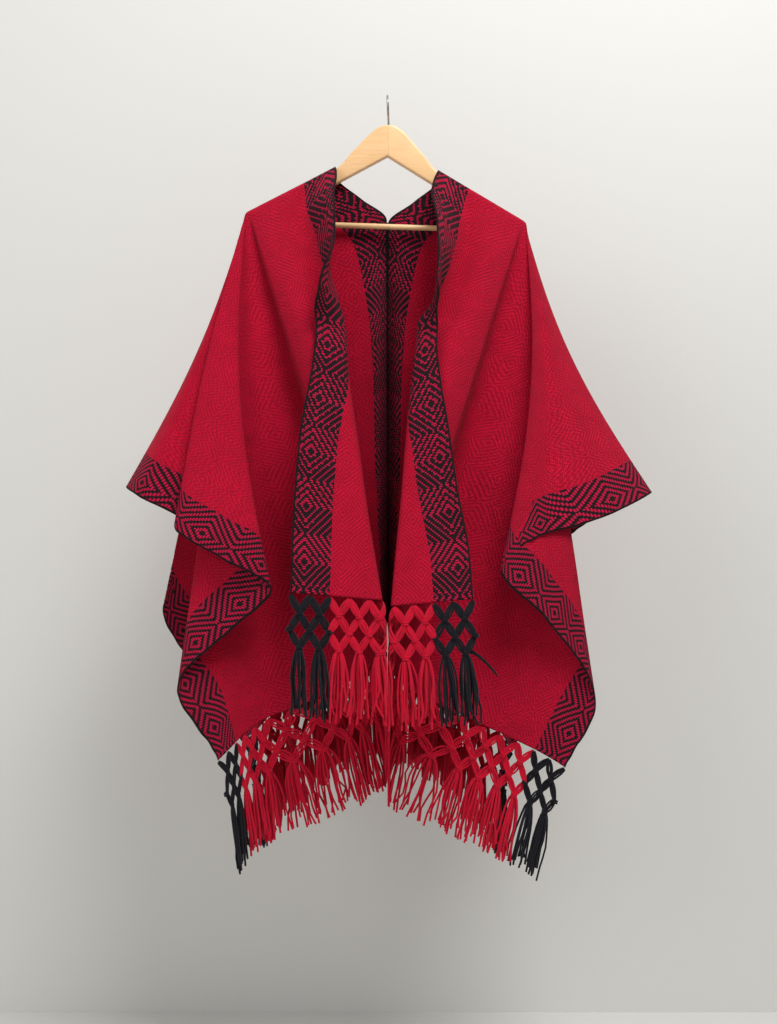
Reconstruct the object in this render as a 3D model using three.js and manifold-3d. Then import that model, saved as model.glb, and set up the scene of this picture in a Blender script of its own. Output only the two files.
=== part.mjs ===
// An open-front wool poncho of two handwoven panels, hung on a wooden clothes hanger.
// Sizes are millimetres. X runs to the viewer's right, Y away from the viewer and Z up.
// The origin is the underside of the hook's crown, the point that everything hangs from.
import * as THREE from 'three';
import { mergeVertices } from 'three/addons/utils/BufferGeometryUtils.js';
import Module from 'manifold-3d';

// The cut of one panel, as it lies flat: it runs from the front hem over the shoulder to the
// back hem, and a knotted fringe is worked on the warp ends at both hems.
const panelWidth = 630;
const halfLength = 720;
const clothThickness = 2.6;
const bandWidth = 57;
const seamGap = 0.3;

// The fringe: a net of knotted bundles, and one tassel under each knot of its last row.
const fringePitches = 22;
const fringePitch = panelWidth / fringePitches;
const netRows = 3;
const netRowHeight = 25;
const headingHeight = 5;
const bundleWidth = 10;
const netThickness = 5;
const tasselLength = 100;
const tasselSpread = 11;
const strandTip = 7;
const strandGap = 1;
const strandStep = 7;

// Where a panel lies on the hanger: across is measured from its centre edge and along from its
// middle, positive to the front. The centre edge crosses the hanger 40 mm in front of the middle.
const neckAlong = 40;
const tipAcross = 5.5 * fringePitch;
const shoulderRadius = 10;
const neckSlit = 120;

// The hanger, before it tilts: half the width of the neck that it leaves open, the reach of its
// arms, and the heights of its top edge there, at its peak and at the point of its lower edge.
const neckReach = 82;
const tipReach = 214.3;
const endInset = 4;
const neckTopZ = -116.4;
const tipTopZ = -189.2;
const peakZ = -44;
const lowerPeakZ = -94;
const armHeight = 25;
const hangerThickness = 12;
const hangerTilt = 1.9;
const tiltZ = -100;
const hangerGap = 1;
const barRadius = 4.3;
const barZ = -203;
const barReach = 206.5;
const boreGap = 0.3;
const hookWire = 3.2;
const hookRadius = 16;

const table = (names, ...rows) =>
  rows.map((row) => Object.fromEntries(names.map((name, i) => [name, row[i]])));

// The folds that fan out from the hanger's tip. Flat angle is taken on the flat panel about that
// tip, from straight down the back (-90) over the sleeve's edge (0) to straight down the front
// (90). The cloth on that line hangs so many degrees outward (swing) and towards the viewer
// (forward), bows outward by so many millimetres halfway, and slack is the share of its length
// that is left when small creases take it up.
const foldNames = ['flatAngle', 'swing', 'forward', 'bow', 'slack'];

const leftFolds = table(
  foldNames,
  [-90, -12, -5, 0, 1],
  [-85.9, -10.7, -1.5, 0, 1],
  [-81.8, -9.5, -5.5, 0, 1],
  [-77.6, -8.3, -1.5, 0, 1],
  [-73.5, -7.1, -5.5, 0, 1],
  [-69.4, -5, -1.5, 0, 1],
  [-65.3, -3, -5.5, 0, 1],
  [-61.1, -1, -3, 0, 1],
  [-56.7, 1.5, -6.5, 0, 1],
  [-50.7, 6.9, -5, 0, 1],
  [-43, 12.7, -4, 0, 1],
  [-30, 4, -8, 0, 1],
  [-18, 14.3, -9, -8, 1],
  [0, 23.6, 0, -19, 1],
  [11.5, 18.8, 10, -12, 1],
  [17, 11.5, 9, 0, 1],
  [24, 10.6, 12, 10, 1],
  [32, 1.8, 12, 20, 1],
  [38.2, -5, 11, 28, 1],
  [44, 1, 8.5, 10, 1],
  [50.8, 7.1, 7, 0, 1],
  [56.7, 2.4, 4.5, 0, 0.99],
  [64.7, -1.9, 3, 0, 1],
  [71.3, -11.3, 2, 0, 1],
  [78, -16.4, 1, 0, 1],
  [90, -17.9, 12, 0, 0.895],
);

const rightFolds = table(
  foldNames,
  [-90, -12, -5, 0, 1],
  [-85.9, -10.7, -1.5, 0, 1],
  [-81.8, -9.5, -5.5, 0, 1],
  [-77.6, -8.3, -1.5, 0, 1],
  [-73.5, -7.1, -5.5, 0, 1],
  [-69.4, -5.5, -1.5, 0, 1],
  [-65.3, -4.6, -5.1, 0, 1],
  [-61.1, -2, -3.4, 0, 1],
  [-56.7, -0.5, -6, 0, 1],
  [-50, 5, -4, 0, 1],
  [-43, 9.5, -6.5, 0, 1],
  [-33, 3, -3.5, 0, 1],
  [-24, 7.9, -8, -6, 1],
  [-12, 16.5, -7, -14, 1],
  [0, 25.2, 0, -26, 1],
  [10.5, 16.6, 7, -14, 1],
  [15.6, 8.6, 9, 5, 1],
  [19.4, 2, 10, 15, 1],
  [32.3, -5.2, 12, 27, 1],
  [41.5, 2.2, 9, 10, 1],
  [51.9, 7.4, 6.5, 0, 0.985],
  [56.7, 3.6, 5, 0, 0.985],
  [67, -6.7, 2.5, 0, 1],
  [71.9, -14.2, 1.5, 0, 1],
  [78, -16.2, 1, 0, 1],
  [90, -18, 12, 0, 0.88],
);

// The front edge rolls forward and then back over the chest, so that below the breast its
// reverse shows as a lapel. Drop runs down the edge from the neck; the roll starts startX from
// the middle, takes up so much of the panel's width, and turns so far at that radius.
const edgeNames = ['drop', 'startX', 'roll', 'turn', 'radius'];

const leftEdge = table(
  edgeNames,
  [0, 134, 57, 0, 26],
  [55, 140, 74, 39, 25],
  [91, 132, 81, 55, 24],
  [146, 121, 87, 69, 23],
  [190, 102, 96, 103, 22],
  [230, 88, 88, 132, 19],
  [272, 77, 77, 180, 15],
  [325, 73, 82, 180, 14],
  [433, 56, 110, 180, 12],
  [538, 40, 128, 180, 10],
  [680, 15, 147, 180, 7],
);

const rightEdge = table(
  edgeNames,
  [0, 130, 57, 0, 26],
  [85, 128, 80, 50, 24],
  [140, 117, 87, 70, 23],
  [210, 86, 87, 97, 19],
  [246, 62, 68, 140, 16],
  [283, 57, 62, 180, 14],
  [355, 47, 74, 180, 13],
  [421, 40, 88, 180, 12],
  [516, 30.5, 104, 180, 10],
  [612, 19.5, 125, 180, 8],
  [680, 13, 133, 180, 7],
);

// The middle of the back, from the neck down: the centre edge runs in to the point of the neck,
// is sewn to the other panel from there on, and is drawn back into a fold whose sides are the
// two patterned bands. Y counts from the arm's own radius and fall is the height below the neck.
const backNames = ['drop', 'edgeX', 'edgeY', 'edgeFall', 'bandX', 'bandY', 'bandFall'];
const backRows = (neckX, bandX, bandFall) =>
  table(
    backNames,
    [0, neckX, 0, 0, bandX, 0, bandFall],
    [16, neckX - 1.5, 0, 15, bandX - 1.5, 0, bandFall + 15],
    [60, neckX * 0.52, 2, 49, bandX - 36, 1, bandFall + 51],
    [neckSlit, 0.8, 5, 84, 55, 2, 120],
    [228, 1, 24, 191, 31, -2, 226],
    [319, 1.2, 36, 281, 23, 0, 314],
    [456, 1.2, 43, 417, 20, 2, 449],
    [608, 1.2, 48, 568, 13, 3, 597],
    [760, 1.2, 50, 719, 9, 3, 745],
  );

// A place on the hanger, across and up, once the hanger has tilted.
const tilt = THREE.MathUtils.degToRad(hangerTilt);
const tilted = (x, z) => ({
  x: x * Math.cos(tilt) + (z - tiltZ) * Math.sin(tilt),
  z: tiltZ + (z - tiltZ) * Math.cos(tilt) - x * Math.sin(tilt),
});
const clothLift = clothThickness / 2 + hangerGap;

// The two halves of the poncho, as the viewer sees them, with the height of the front edge's end.
const halfOf = (sign, hemZ, folds, edge) => {
  const neck = tilted(sign * neckReach, neckTopZ + clothLift);
  const tip = tilted(sign * tipReach, tipTopZ + clothLift);
  const bandShare = bandWidth / tipAcross;
  const bandX = sign * (neck.x + (tip.x - neck.x) * bandShare);
  const back = backRows(sign * neck.x, bandX, (neck.z - tip.z) * bandShare);
  return { sign, neck, tip, hemZ, folds, edge, back };
};
const halves = {
  left: halfOf(-1, -779, leftFolds, leftEdge),
  right: halfOf(1, -788, rightFolds, rightEdge),
};
const chestBulge = 24;
const lapelRise = 12;
const neckFade = 60;

const radians = THREE.MathUtils.degToRad;
const clamp = THREE.MathUtils.clamp;

// Reads one column of a table between its rows, as a smooth curve that never overshoots them.
function read(rows, key, column, at) {
  const last = rows.length - 1;
  const place = clamp(at, rows[0][key], rows[last][key]);
  let i = 0;
  while (i < last - 1 && place > rows[i + 1][key]) i++;
  const slope = (k) => (rows[k + 1][column] - rows[k][column]) / (rows[k + 1][key] - rows[k][key]);
  const tangent = (k) => {
    if (k === 0 || k === last) return slope(Math.min(k, last - 1));
    const before = slope(k - 1);
    const after = slope(k);
    return before * after > 0 ? (2 * before * after) / (before + after) : 0;
  };
  const span = rows[i + 1][key] - rows[i][key];
  const t = (place - rows[i][key]) / span;
  const rise = rows[i + 1][column] - rows[i][column];
  const start = tangent(i) * span;
  const end = tangent(i + 1) * span;
  return rows[i][column] + t * (start + t * (3 * rise - 2 * start - end + t * (start + end - 2 * rise)));
}

// The cloth's ridge on the hanger, between the neck and the tip.
function shoulderPoint(half, across) {
  const t = across / tipAcross;
  const x = half.neck.x + (half.tip.x - half.neck.x) * t;
  const z = half.neck.z + (half.tip.z - half.neck.z) * t;
  return new THREE.Vector3(x, 0, z);
}

// How cloth that crosses the arm leaves its ridge: out to one side, round the radius, and how
// much less it has fallen than its own length.
function overArm(length) {
  const bent = Math.min(length / shoulderRadius, Math.PI / 2);
  const out = shoulderRadius * Math.sin(bent);
  return { out, spared: shoulderRadius * (bent - 1 + Math.cos(bent)) };
}

// A place beyond or below the hanger's tip: the cloth bends over the tip on a small radius, and
// then hangs straight in the direction that its fold gives.
function sleevePoint(half, across, along) {
  const sideways = across - tipAcross;
  const reach = Math.hypot(sideways, along);
  const angle = Math.atan2(along, sideways);
  const fold = (column) => read(half.folds, 'flatAngle', column, THREE.MathUtils.radToDeg(angle));
  const ridge = shoulderPoint(half, tipAcross).sub(shoulderPoint(half, 0)).normalize();
  const forward = new THREE.Vector3(0, -1, 0);
  const leave = ridge.multiplyScalar(Math.cos(angle)).addScaledVector(forward, Math.sin(angle));
  const swing = half.sign * Math.tan(radians(fold('swing')));
  const hang = new THREE.Vector3(swing, -Math.tan(radians(fold('forward'))), -1).normalize();
  const turn = leave.angleTo(hang);
  const bent = Math.min(reach / shoulderRadius, turn);
  const inward = hang.clone().addScaledVector(leave, -Math.cos(turn)).normalize();
  const sleeveLength = (panelWidth - tipAcross) / Math.cos(angle);
  const wholeReach = Math.min(sleeveLength, halfLength / Math.max(Math.abs(Math.sin(angle)), 0.01));
  const bow = fold('bow') * Math.sin((Math.PI * reach) / wholeReach);
  return shoulderPoint(half, tipAcross)
    .addScaledVector(leave, shoulderRadius * Math.sin(bent))
    .addScaledVector(inward, shoulderRadius * (1 - Math.cos(bent)))
    .addScaledVector(hang, (reach - shoulderRadius * bent) * fold('slack'))
    .add(new THREE.Vector3(half.sign * bow, 0, 0));
}

// The front between the neck and the tip: a soft bulge from the sleeve to the start of the roll,
// and the roll itself, which carries the front edge.
function rolledFront(half, across, fraction) {
  const drop = fraction * (halfLength - neckAlong);
  const edge = (column) => read(half.edge, 'drop', column, drop);
  const roll = edge('roll');
  const outer = sleevePoint(half, tipAcross, fraction * halfLength);
  const { spared } = overArm(fraction * halfLength);
  const edgeZ = half.neck.z + (half.hemZ - half.neck.z) * fraction + spared * (1 - fraction);
  const slope = shoulderPoint(half, roll).z - half.neck.z;
  const start = new THREE.Vector3(half.sign * edge('startX'), outer.y, edgeZ + slope * (1 - fraction));
  if (across >= roll) {
    const t = (across - roll) / (tipAcross - roll);
    const bulge = chestBulge * Math.sin(Math.PI * t) * Math.sin(Math.PI * fraction);
    return start.lerp(outer, t).add(new THREE.Vector3(0, -bulge, 0));
  }
  const rolled = roll - across;
  const radius = edge('radius');
  const turn = Math.min(rolled / radius, radians(edge('turn')));
  const beyond = rolled - radius * turn;
  const inward = radius * Math.sin(turn) + beyond * Math.cos(turn);
  const forward = radius * (1 - Math.cos(turn)) + beyond * Math.sin(turn);
  const z = start.z + ((edgeZ + lapelRise * fraction - start.z) * rolled) / roll;
  return new THREE.Vector3(start.x - half.sign * inward, start.y - forward, z);
}

function frontPoint(half, across, fraction) {
  const point = rolledFront(half, across, fraction);
  const fade = clamp(1 - (fraction * halfLength) / neckFade, 0, 1);
  const miss = shoulderPoint(half, across).sub(rolledFront(half, across, 0));
  return point.addScaledVector(miss, fade);
}

// The back between the neck and the tip, smoothly through the centre edge, the band's inner
// limit and the line that hangs from the tip.
function backPoint(half, across, fraction) {
  const drop = fraction * (halfLength + neckAlong);
  const back = (column) => read(half.back, 'drop', column, drop);
  const outer = sleevePoint(half, tipAcross, -fraction * halfLength);
  const { out, spared } = overArm(fraction * halfLength);
  const top = half.neck.z + spared * (1 - fraction);
  const stops = [
    { across: 0, x: half.sign * back('edgeX'), y: out + back('edgeY'), z: top - back('edgeFall') },
    { across: bandWidth, x: half.sign * back('bandX'), y: out + back('bandY'), z: top - back('bandFall') },
    { across: tipAcross, x: outer.x, y: outer.y, z: outer.z },
  ];
  const at = (axis) => read(stops, 'across', axis, across);
  return new THREE.Vector3(at('x'), at('y'), at('z'));
}

// The middle of the cloth's thickness at a place on the flat panel.
function clothPoint(half, across, along) {
  if (across >= tipAcross) return sleevePoint(half, across, along);
  const shoulder = neckAlong * (1 - across / tipAcross);
  return along >= shoulder
    ? frontPoint(half, across, (along - shoulder) / (halfLength - shoulder))
    : backPoint(half, across, (shoulder - along) / (halfLength + shoulder));
}

// A closed wall from a sheet of oriented triangles: each point moves half the thickness out along
// its normal on either face, and every free edge gets a strip, split along its shorter diagonal so
// that two walls fit along a shared edge. Points stay clear of the middle.
function wall(points, triangles, thickness, sign, normals = sheetNormals(points, triangles)) {
  const count = points.length;
  const keepClear = (v) => {
    v.x = sign * Math.max(sign * v.x, seamGap / 2);
    return v;
  };
  const outer = points.map((p, i) => keepClear(p.clone().addScaledVector(normals[i], thickness / 2)));
  const inner = points.map((p, i) => keepClear(p.clone().addScaledVector(normals[i], -thickness / 2)));
  const faces = [];
  const used = new Map();
  for (const [a, b, c] of triangles) {
    faces.push([a, b, c], [count + c, count + b, count + a]);
    for (const [from, to] of [[a, b], [b, c], [c, a]]) used.set(`${from},${to}`, [from, to]);
  }
  for (const [from, to] of used.values()) {
    if (used.has(`${to},${from}`)) continue;
    const toIsNear = outer[to].distanceTo(inner[from]) < outer[from].distanceTo(inner[to]);
    if (toIsNear) faces.push([to, from, count + from], [to, count + from, count + to]);
    else faces.push([to, from, count + to], [from, count + from, count + to]);
  }
  return solid([...outer, ...inner], faces);
}

function sheetNormals(points, triangles) {
  const normals = points.map(() => new THREE.Vector3());
  for (const [a, b, c] of triangles) {
    const u = points[b].clone().sub(points[a]);
    const v = points[c].clone().sub(points[a]);
    const area = u.cross(v);
    for (const i of [a, b, c]) normals[i].add(area);
  }
  return normals.map((n) => n.normalize());
}

function solid(vertices, faces) {
  const geometry = new THREE.BufferGeometry();
  const positions = faces.flatMap((face) => face.flatMap((i) => vertices[i].toArray()));
  geometry.setAttribute('position', new THREE.Float32BufferAttribute(positions, 3));
  geometry.computeVertexNormals();
  return geometry;
}

// The columns of a panel's mesh: lines down the front, rays round the tip and lines down the
// back. Each is a list of flat places, with its share of the way from the shoulder to the edge.
const bendShares = [0, 0.007, 0.012, 0.018];
const chestShares = [0.05, 0.09, 0.14, 0.2, 0.25, 0.3, 0.35, 0.4, 0.48];
const frontShares = [...bendShares, ...chestShares, 0.57, 0.67, 0.78, 0.89, 1];
const backShares = [...bendShares, 0.08, 0.158, 0.23, 0.32, 0.45, 0.63, 0.82, 1];
const rayShares = [...bendShares, 0.08, 0.22, 0.45, 0.72, 1];

// The front lines follow the roll: two on the flat of the lapel, four round the bend, and three
// on the chest.
function frontLines(half, share) {
  const drop = share * (halfLength - neckAlong);
  const edge = (column) => read(half.edge, 'drop', column, drop);
  const roll = edge('roll');
  const bend = Math.min(edge('radius') * radians(edge('turn')), roll * 0.9);
  const lapel = [0, 0.5].map((part) => (roll - bend) * part);
  const bent = [0, 0.25, 0.5, 0.75].map((part) => roll - bend * (1 - part));
  const chest = [0, 0.33, 0.67].map((part) => roll + (tipAcross - roll) * part);
  return [...lapel, ...bent, ...chest];
}

function panelColumns(half) {
  const between = (share, from, to) => ({
    share,
    across: THREE.MathUtils.lerp(from[0], to[0], share),
    along: THREE.MathUtils.lerp(from[1], to[1], share),
  });
  const shoulder = (across) => [across, neckAlong * (1 - across / tipAcross)];
  const columns = frontLines(half, 0).map(() => []);
  for (const share of frontShares)
    frontLines(half, share).forEach((across, line) => {
      columns[line].push(between(share, shoulder(across), [across, halfLength]));
    });
  for (const end of rayEnds(half))
    columns.push(rayShares.map((share) => between(share, [tipAcross, 0], end)));
  for (const across of frontLines(half, 0).reverse())
    columns.push(backShares.map((share) => between(share, shoulder(across), [across, -halfLength])));
  return columns;
}

// Rays end on the hems at every pitch of the fringe, and on the sleeve's edge at every fold.
function rayEnds(half) {
  const hemEnds = [tipAcross];
  for (let k = 6; k <= fringePitches; k++) hemEnds.push(k * fringePitch);
  const corner = THREE.MathUtils.radToDeg(Math.atan2(halfLength, panelWidth - tipAcross));
  const angles = half.folds.map((row) => row.flatAngle).filter((angle) => Math.abs(angle) < corner - 2);
  const stops = [-corner, ...angles, corner];
  const edgeAngles = stops.slice(1).flatMap((angle, i) => [(angle + stops[i]) / 2, angle]).slice(0, -1);
  return [
    ...hemEnds.map((across) => [across, halfLength]),
    ...edgeAngles.reverse().map((angle) => [panelWidth, (panelWidth - tipAcross) * Math.tan(radians(angle))]),
    ...hemEnds.reverse().map((across) => [across, -halfLength]),
  ];
}

// Triangles between two neighbouring columns of points, stepping down whichever is behind.
function stitch(left, right, triangles) {
  let i = 0;
  let j = 0;
  while (i < left.length - 1 || j < right.length - 1) {
    const [leftEnds, rightEnds] = [i === left.length - 1, j === right.length - 1];
    const leftIsNext = !leftEnds && (rightEnds || left[i + 1].share <= right[j + 1].share);
    const next = leftIsNext ? left[i + 1] : right[j + 1];
    const triangle = [left[i].index, next.index, right[j].index];
    if (new Set(triangle).size === 3) triangles.push(triangle);
    if (leftIsNext) i++;
    else j++;
  }
}

// One panel: its mesh on the middle of the cloth, and each point of its two hems, with the
// cloth's normal and its own downward side there. The normals make each hem a square cut.
function panelSheet(half) {
  const points = [];
  const triangles = [];
  const known = new Map();
  const indexOf = ({ across, along }) => {
    const key = `${across.toFixed(3)},${along.toFixed(3)}`;
    if (!known.has(key)) known.set(key, points.push(clothPoint(half, across, along)) - 1);
    return known.get(key);
  };
  const placed = (column) => column.map((place) => ({ ...place, index: indexOf(place) }));
  const columns = panelColumns(half).map(placed);
  for (let i = 1; i < columns.length; i++) stitch(columns[i - 1], columns[i], triangles);
  const turned = half.sign < 0 ? triangles : triangles.map(([a, b, c]) => [a, c, b]);
  const normals = sheetNormals(points, turned);
  const hem = (along) =>
    columns
      .map((column) => column.slice(-2))
      .filter(([, end]) => Math.abs(end.along - along) < 0.01)
      .map(([before, end]) => {
        const point = points[end.index];
        const side = point.clone().sub(points[before.index]).normalize();
        const normal = normals[end.index];
        normal.addScaledVector(side, -normal.dot(side)).normalize();
        return { across: end.across, point, normal, side };
      })
      .sort((a, b) => a.across - b.across);
  return { points, triangles: turned, normals, frontHem: hem(halfLength), backHem: hem(-halfLength) };
}

// A fringe is laid out flat, across by depth below the hem, and hung on the hem's own points. It
// starts in the cloth's own direction, and then falls nearly straight down. Plump is the share of
// the net's thickness that a place has: a knot is thicker than the bundles beside it. Near the
// middle the two halves' fringes crowd together and stay so far clear of each other.
const clothShare = 0.4;
const straightDepth = 20;
const knotPlump = 1.3;
const bundlePlump = 0.8;
const headingPlump = (0.9 * clothThickness) / netThickness;
const headingGap = 0.7;
const middleClear = 3.5;
const middleCrowd = 8;

// Adds to each point of a hem the way that the fringe falls from it.
const addFall = (hem) =>
  hem.map((stop) => {
    const fall = stop.side.clone().multiplyScalar(clothShare).add(new THREE.Vector3(0, 0, clothShare - 1));
    return { ...stop, fall: fall.normalize() };
  });

function hangFrom(hem, { across, depth, plump }) {
  let i = 0;
  while (i < hem.length - 2 && across > hem[i + 1].across) i++;
  const t = (across - hem[i].across) / (hem[i + 1].across - hem[i].across);
  const mix = (name) => hem[i][name].clone().lerp(hem[i + 1][name], t);
  const straight = Math.min(depth, straightDepth);
  const point = mix('point')
    .addScaledVector(mix('side').normalize(), headingGap + straight)
    .addScaledVector(mix('fall').normalize(), depth - straight);
  const sign = Math.sign(hem[0].point.x);
  const tooNear = Math.min(sign * point.x - middleCrowd, 0);
  const crowding = middleCrowd - middleClear;
  if (tooNear < 0) point.x = sign * (middleClear + crowding * Math.exp(tooNear / crowding));
  return { point, normal: mix('normal').normalize().multiplyScalar(plump) };
}

function fringe(half, plainHem) {
  const hem = addFall(plainHem);
  const places = [];
  const triangles = [];
  const known = new Map();
  const at = ([across, depth], plump = 1) => {
    const key = `${across.toFixed(2)},${depth.toFixed(2)}`;
    if (!known.has(key)) known.set(key, places.push({ across, depth, plump }) - 1);
    return known.get(key);
  };
  const fan = (...corners) => {
    for (let i = 2; i < corners.length; i++) triangles.push([corners[0], corners[i - 1], corners[i]]);
  };
  const knotPlace = (row, k) => [k * fringePitch, headingHeight + row * netRowHeight];
  const knot = (row, k) => at(knotPlace(row, k), row === 0 ? headingPlump : knotPlump);

  // The heading: its upper edge has every point of the hem, its lower edge the bundles' roots.
  const upper = hem.map((stop) => ({ share: stop.across, index: at([stop.across, 0], headingPlump) }));
  const lower = [];
  for (let k = 0; k <= fringePitches; k++) lower.push({ share: k * fringePitch, index: knot(0, k) });
  stitch(lower, upper, triangles);

  // The open meshes, each a diamond or, under the heading, a triangle, inside its four bundles.
  const halfPitch = fringePitch / 2;
  const meshRadius = (halfPitch * netRowHeight) / Math.hypot(halfPitch, netRowHeight);
  const diamondKept = 1 - bundleWidth / 2 / meshRadius;
  const triangleKept = 0.5;
  const inside = (middle, kept, corner) =>
    at(middle.map((value, axis) => value + (corner[axis] - value) * kept), bundlePlump);
  for (let k = 0; k < fringePitches; k++) {
    const mid = k + 0.5;
    const corners = [[0, k], [1, mid], [0, k + 1]];
    const middle = [mid * fringePitch, headingHeight + netRowHeight / 3];
    const [a, b, c] = corners.map((corner) => inside(middle, triangleKept, knotPlace(...corner)));
    fan(knot(0, k), knot(1, mid), b, a);
    fan(knot(1, mid), knot(0, k + 1), c, b);
    fan(knot(0, k + 1), knot(0, k), a, c);
  }
  for (let k = 1; k < fringePitches; k++) {
    const corners = [[0, k], [1, k - 0.5], [2, k], [1, k + 0.5]];
    const rim = corners.map((corner) => inside(knotPlace(1, k), diamondKept, knotPlace(...corner)));
    corners.forEach((corner, i) => {
      const next = (i + 1) % corners.length;
      fan(knot(...corner), knot(...corners[next]), rim[next], rim[i]);
    });
  }

  // The last row of meshes, with the root of a tassel's two strands under each knot.
  for (let k = 0; k < fringePitches; k++) {
    const mid = k + 0.5;
    const corners = [[1, mid], [2, k], [3, mid], [2, k + 1]];
    const rim = corners.map((corner) => inside(knotPlace(2, mid), diamondKept, knotPlace(...corner)));
    const [top, left, foot, right] = rim;
    const [x, depth] = knotPlace(netRows, mid);
    const root = at([x, depth], knotPlump);
    const [rootLeft, rootRight] = [-1, 1].map((way) => at([x + (way * tasselSpread) / 2, depth - 3], 1));
    fan(knot(1, mid), knot(2, k), left, top);
    fan(knot(2, k), rootLeft, foot, left);
    fan(rootLeft, root, foot);
    fan(root, rootRight, foot);
    fan(rootRight, knot(2, k + 1), right, foot);
    fan(knot(2, k + 1), knot(1, mid), top, right);
    const tip = depth + tasselLength;
    fan(rootLeft, at([x - strandGap - strandTip, tip], 1), at([x - strandGap, tip - strandStep], 1), root);
    fan(root, at([x + strandGap, tip - strandStep], 1), at([x + strandGap + strandTip, tip], 1), rootRight);
  }

  // The net's two side edges: half a bundle more, so that the outermost bundles are whole.
  for (const [edge, inner, way] of [[0, 0.5, 1], [fringePitches, fringePitches - 0.5, -1]]) {
    const [x, depth] = knotPlace(1, inner);
    const outside = at([x - way * bundleWidth, depth], bundlePlump);
    const ends = way > 0 ? [2, 0] : [0, 2];
    fan(outside, knot(ends[0], edge), knot(1, inner), knot(ends[1], edge));
  }

  const hung = places.map((place) => hangFrom(hem, place));
  const points = hung.map(({ point }) => point);
  const normals = hung.map(({ normal }) => normal);
  const agreement = sheetNormals(points, triangles).reduce((sum, n, i) => sum + n.dot(normals[i]), 0);
  const turned = agreement > 0 ? triangles : triangles.map(([a, b, c]) => [a, c, b]);
  return wall(points, turned, netThickness, half.sign, normals);
}

// The hanger: two arms cut from one board, with a bore at the top for the hook's shank and one
// in each end for the bar.
const wasm = await Module();
wasm.setup();

function toManifold(geometry) {
  const plain = new THREE.BufferGeometry();
  const loose = geometry.index ? geometry.toNonIndexed() : geometry;
  plain.setAttribute('position', loose.getAttribute('position'));
  const merged = mergeVertices(plain, 1e-3);
  return new wasm.Manifold(
    new wasm.Mesh({
      numProp: 3,
      vertProperties: merged.getAttribute('position').array,
      triVerts: new Uint32Array(merged.index.array),
    }),
  );
}

function bored(body, ...bores) {
  let made = toManifold(body);
  for (const bore of bores) made = made.subtract(toManifold(bore));
  const mesh = made.getMesh();
  const geometry = new THREE.BufferGeometry();
  geometry.setAttribute('position', new THREE.BufferAttribute(mesh.vertProperties, 3));
  geometry.setIndex(new THREE.BufferAttribute(mesh.triVerts, 1));
  const flat = geometry.toNonIndexed();
  flat.computeVertexNormals();
  return flat;
}

function hangerBody() {
  const armSlope = (tipTopZ - neckTopZ) / (tipReach - neckReach);
  const edgeRound = 4;
  const endReach = tipReach - endInset;
  const endTopZ = tipTopZ - armSlope * endInset;
  const shape = new THREE.Shape();
  shape.moveTo(0, peakZ);
  shape.quadraticCurveTo(15, peakZ, 30, -60);
  shape.lineTo(60, -93);
  shape.quadraticCurveTo(neckReach - 10, neckTopZ - armSlope * 10, neckReach, neckTopZ);
  shape.lineTo(endReach, endTopZ);
  shape.quadraticCurveTo(endReach + 5, endTopZ - 3, endReach + 4.5, endTopZ - 10);
  shape.quadraticCurveTo(endReach + 3, endTopZ - armHeight - 1, endReach - 9, endTopZ - armHeight + 5);
  shape.lineTo(neckReach, neckTopZ - armHeight);
  shape.lineTo(0, lowerPeakZ);
  const rightSide = shape.getPoints(6);
  const leftSide = rightSide.slice(1, -1).map((p) => new THREE.Vector2(-p.x, p.y)).reverse();
  const board = new THREE.ExtrudeGeometry(new THREE.Shape([...rightSide, ...leftSide]), {
    depth: hangerThickness - 2 * edgeRound,
    bevelThickness: edgeRound,
    bevelSize: edgeRound + 0.5,
    bevelOffset: -edgeRound - 0.5,
    bevelSegments: 1,
  });
  board.translate(0, 0, edgeRound - hangerThickness / 2).rotateX(Math.PI / 2);
  const shankBore = new THREE.CylinderGeometry(hookWire / 2 + boreGap, hookWire / 2 + boreGap, 34, 12);
  shankBore.rotateX(Math.PI / 2).translate(0, 0, peakZ);
  return bored(board, shankBore, barGeometry(boreGap));
}

function barGeometry(gap) {
  const bar = new THREE.CylinderGeometry(barRadius + gap, barRadius + gap, 2 * (barReach + gap), 16);
  return bar.rotateZ(Math.PI / 2).translate(0, 0, barZ);
}

// The hook: one steel wire, from its shank in the wood up and round to the back. It leans a
// little, from the crown over the origin to the tilted peak of the hanger.
function hookGeometry() {
  const wireRadius = hookWire / 2;
  const bendRadius = hookRadius + wireRadius;
  const peakX = tilted(0, peakZ).x;
  const leanX = (z) => (z < peakZ ? tilted(0, z).x : (peakX * Math.min(z, 0)) / peakZ);
  const lean = (y, z) => new THREE.Vector3(leanX(z), y, z);
  const route = [lean(0, peakZ - 14), lean(0, peakZ), lean(0, peakZ + 5), lean(-3.5, peakZ + 9.5)];
  for (let angle = 150; angle >= -110; angle -= 20) {
    const bend = THREE.MathUtils.degToRad(angle);
    route.push(lean(-bendRadius * Math.sin(bend), bendRadius * Math.cos(bend) - hookRadius));
  }
  const section = new THREE.Shape().absarc(0, 0, wireRadius, 0, 2 * Math.PI);
  return new THREE.ExtrudeGeometry(new THREE.Shape(section.getPoints(8).slice(0, -1)), {
    steps: 36,
    bevelEnabled: false,
    extrudePath: new THREE.CatmullRomCurve3(route),
  });
}

const finish = (color, roughness, metalness = 0) =>
  new THREE.MeshStandardMaterial({ color, roughness, metalness });
const redWool = finish(0xa8102e, 0.95);
const redYarn = finish(0xb01530, 0.9);
const varnishedWood = finish(0xfccd96, 0.4);
const steel = finish(0x9a9a9c, 0.35, 1);

const part = new THREE.Group();
function addMesh(name, geometry, material, group = part) {
  const mesh = new THREE.Mesh(geometry, material);
  mesh.name = name;
  group.add(mesh);
}

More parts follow.
